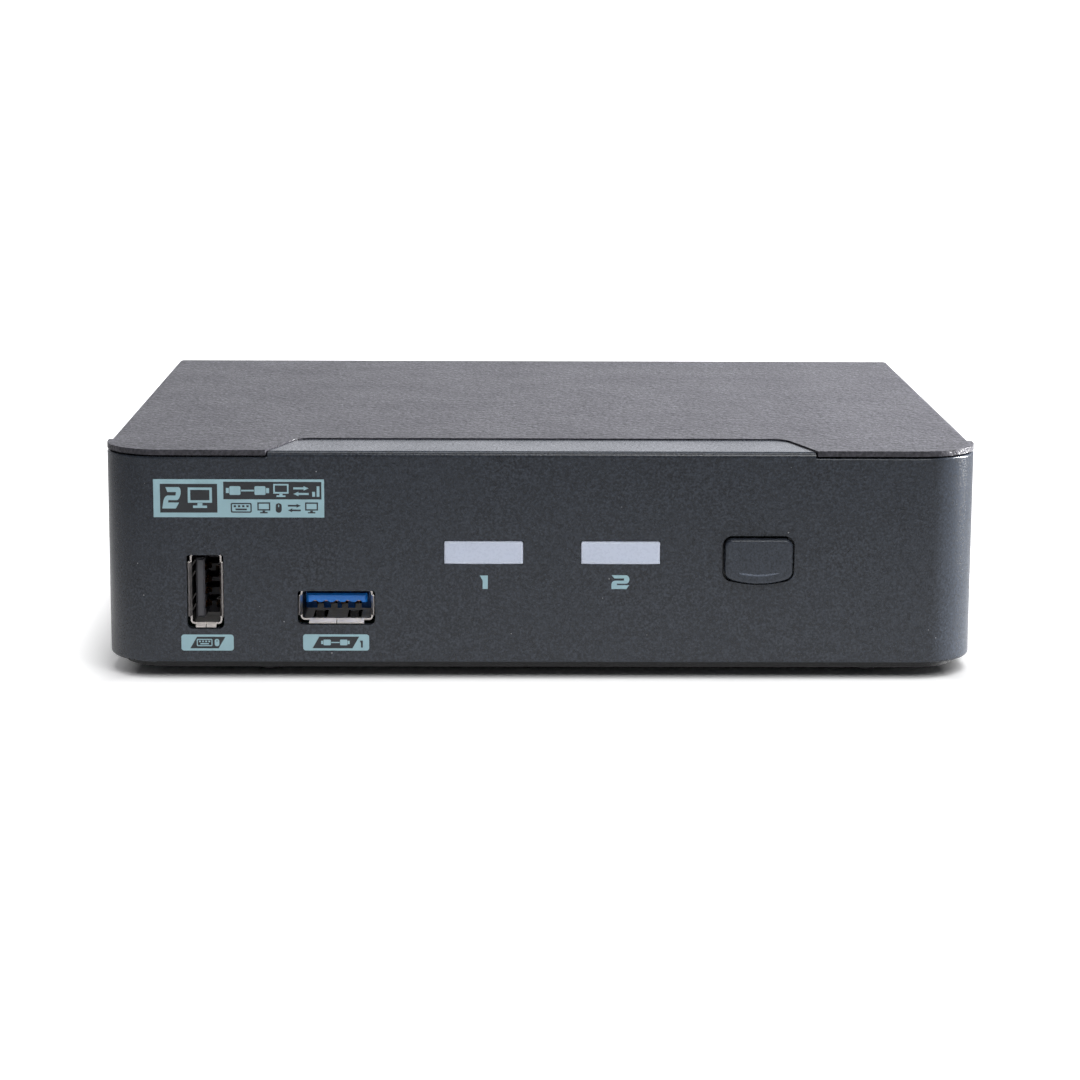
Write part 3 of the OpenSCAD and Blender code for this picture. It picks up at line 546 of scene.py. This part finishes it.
def loft(bm, rings):
    """Skin the rings one after another and close both ends."""
    loops = [[bm.verts.new(p) for p in ring] for ring in rings]
    n = len(loops[0])
    for a, b in zip(loops, loops[1:]):
        for i in range(n):
            j = (i + 1) % n
            bm.faces.new((a[i], a[j], b[j], b[i]))
    bm.faces.new(loops[0])
    bm.faces.new(list(reversed(loops[-1])))


lo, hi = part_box("button_cap")
bx, bz = (lo[0] + hi[0]) / 2 / MM, (lo[2] + hi[2]) / 2 / MM
face_y, wall_y = lo[1] / MM + 0.2, FRONT / MM + 2.3
bm = bmesh.new()
rim = 0.42
slim = -0.1          # the cap's sides stand back a little, which widens the dark gap around it


def cap_ring(grow, y):
    return [((bx + x) * MM, y * MM, (bz + z) * MM) for x, z in cap_outline(6.2, 4.15, 1.1, grow)]


rings = [cap_ring(1.1, wall_y + 0.8), cap_ring(1.1, wall_y), cap_ring(slim, wall_y),
         cap_ring(slim, face_y + rim + 0.6)]
for i in range(7):
    a = math.pi / 2 * i / 6
    rings.append(cap_ring(slim - rim * (1 - math.cos(a)), face_y + rim * (1 - math.sin(a))))
rings += [cap_ring(-0.65, face_y), cap_ring(-1.6, face_y - 0.02)]
loft(bm, rings)
stem = [[((bx + 1.6 * math.cos(a)) * MM, y * MM, (bz + 1.6 * math.sin(a)) * MM)
         for a in [2 * math.pi * i / 28 for i in range(28)]]
        for y in (wall_y + 0.75, hi[1] / MM - 0.1, hi[1] / MM)]
loft(bm, stem)
cap = finish_mesh("button_cap_soft", bm, M["button"], "button")
cap.data.set_sharp_from_angle(angle=math.radians(50))
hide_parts("button_cap")

bm = bmesh.new()
rings = []
for i in range(25):
    u = -1 + 2 * i / 24
    x = 3.9 * u
    z = -2.45 + 16.2 - math.sqrt(16.2 ** 2 - x * x)
    k = max(0.05, 1 - abs(u) ** 6)
    rings.append([((bx + x) * MM, (face_y + 0.05 - 0.22 * k * math.sin(a)) * MM,
                   (bz + z - 0.2 * k * math.cos(a)) * MM)
                  for a in [math.pi * j / 6 for j in range(7)]])
loft(bm, rings)
finish_mesh("button_ridge", bm, M["ridge"], "button")


# ------------------------------------------------------------ stage and light

def area(name, pos, target, w, h, radiance):
    """Rectangular soft light at pos, turned to target, that the camera doesn't see."""
    d = bpy.data.lights.new(name, "AREA")
    d.shape = "RECTANGLE"
    d.size, d.size_y = w, h
    d.energy = radiance * math.pi * w * h
    o = bpy.data.objects.new(name, d)
    o.location = pos
    o.rotation_euler = (Vector(target) - Vector(pos)).to_track_quat("-Z", "Y").to_euler()
    o.visible_camera = False
    bpy.context.collection.objects.link(o)
    return o


bm = bmesh.new()
bmesh.ops.create_grid(bm, x_segments=24, y_segments=24, size=3.0)
me = bpy.data.meshes.new("floor")
bm.to_mesh(me)
bm.free()
floor = bpy.data.objects.new("floor", me)
bpy.context.collection.objects.link(floor)
fm, ft, fp = new_mat("floor_paper")
fp.inputs["Roughness"].default_value = 0.9
fp.inputs["Specular IOR Level"].default_value = 0.1
spot = add(ft, "ShaderNodeSeparateXYZ")
link(ft, coords(ft), spot.inputs[0])
away = math_node(ft, "MAXIMUM",
                 math_node(ft, "SUBTRACT", math_node(ft, "ABSOLUTE", spot.outputs["X"], 0.0), 0.078),
                 math_node(ft, "SUBTRACT", math_node(ft, "ABSOLUTE", spot.outputs["Y"], 0.0), 0.066))
# painted shade: the floor's colour falls from 0.9 to 0.45 between 3 and 25 cm from the object, a painted
# falloff of light seen in reflections
floor_tone_painted_falloff = math_node(ft, "ADD", remap(ft, away, 0.03, 0.25, 0.90, 0.45),
                  remap(ft, noise(ft, coords(ft), 40, 3.0), 0, 1, 0, 0.03))
link(ft, floor_tone_painted_falloff, fp.inputs["Base Color"])
# painted light: for camera rays the floor glows, not at all under the object, fully from 16 mm out and more
# far away, washing out the shadows around it
glow = math_node(ft, "ADD", remap(ft, away, -0.004, 0.016, 0, 0.9), remap(ft, away, 0.03, 0.25, 0, 0.5))
link(ft, math_node(ft, "MULTIPLY", add(ft, "ShaderNodeLightPath").outputs["Is Camera Ray"], glow),
     fp.inputs["Emission Strength"])
fp.inputs["Emission Color"].default_value = (1, 1, 1, 1)
floor.data.materials.append(fm)

area("key_soft", (0.28, -0.72, 0.74), (0, 0, 0.02), 0.62, 0.5, 4.6)
strip = area("right_strip", (0.462, 0.05, 0.17), (0.079, -0.066, 0.03), 0.06, 0.30, 190.0)
lit = bpy.data.collections.new("lit_by_strip")      # everything but the floor
for o in bpy.context.scene.objects:
    if o.type == "MESH" and o is not floor:
        lit.objects.link(o)
strip.light_linking.receiver_collection = lit
pool = area("floor_pool", (0.13, -0.17, 0.35), (0.11, -0.15, 0), 0.22, 0.12, 7.0)
paper_only = bpy.data.collections.new("lit_by_pool")
paper_only.objects.link(floor)
pool.light_linking.receiver_collection = paper_only
glint = area("socket_glint", (-0.05, 0.24, 0.40), (-0.05, -0.066, 0.012), 0.3, 0.2, 10.5)
shells = bpy.data.collections.new("lit_by_glint")   # reaches the sockets' lips through the body
for n in ("hid_shell", "usb3_shell"):
    shells.objects.link(NODES[n])
glint.light_linking.receiver_collection = shells
glint.light_linking.blocker_collection = paper_only
area("floor_fill", (0.0, 0.1, 1.9), (0, 0, 0), 0.9, 0.9, 2.4)

world = bpy.data.worlds.new("studio")
bpy.context.scene.world = world
world.use_nodes = True
wt = world.node_tree
bg = wt.nodes["Background"]
direction = add(wt, "ShaderNodeTexCoord").outputs["Generated"]
split = add(wt, "ShaderNodeSeparateXYZ")
link(wt, direction, split.inputs[0])
backdrop = math_node(wt, "MULTIPLY", remap(wt, split.outputs["Y"], -0.1, 0.6, 0, 1),
                     remap(wt, split.outputs["Z"], 0.24, 0.42, 1, 0))
side = remap(wt, split.outputs["X"], -0.15, 0.15, 0.78, 1.13)
middle = remap(wt, math_node(wt, "ABSOLUTE", split.outputs["X"], 0.0), 0.25, 0.5, 1, 0.25)
side = math_node(wt, "MULTIPLY", side, middle)
room = remap(wt, split.outputs["Z"], 0.0, 0.5, 0.30, 0.10)
level = math_node(wt, "ADD", math_node(wt, "MULTIPLY", backdrop, side), room)
path = add(wt, "ShaderNodeLightPath")
white = math_node(wt, "MULTIPLY", path.outputs["Is Camera Ray"], 1.2)
link(wt, math_node(wt, "MAXIMUM", level, white), bg.inputs["Strength"])
bg.inputs["Color"].default_value = (0.93, 0.94, 1, 1)

bpy.context.scene.view_settings.view_transform = "Standard"
bpy.context.scene.view_settings.look = "None"
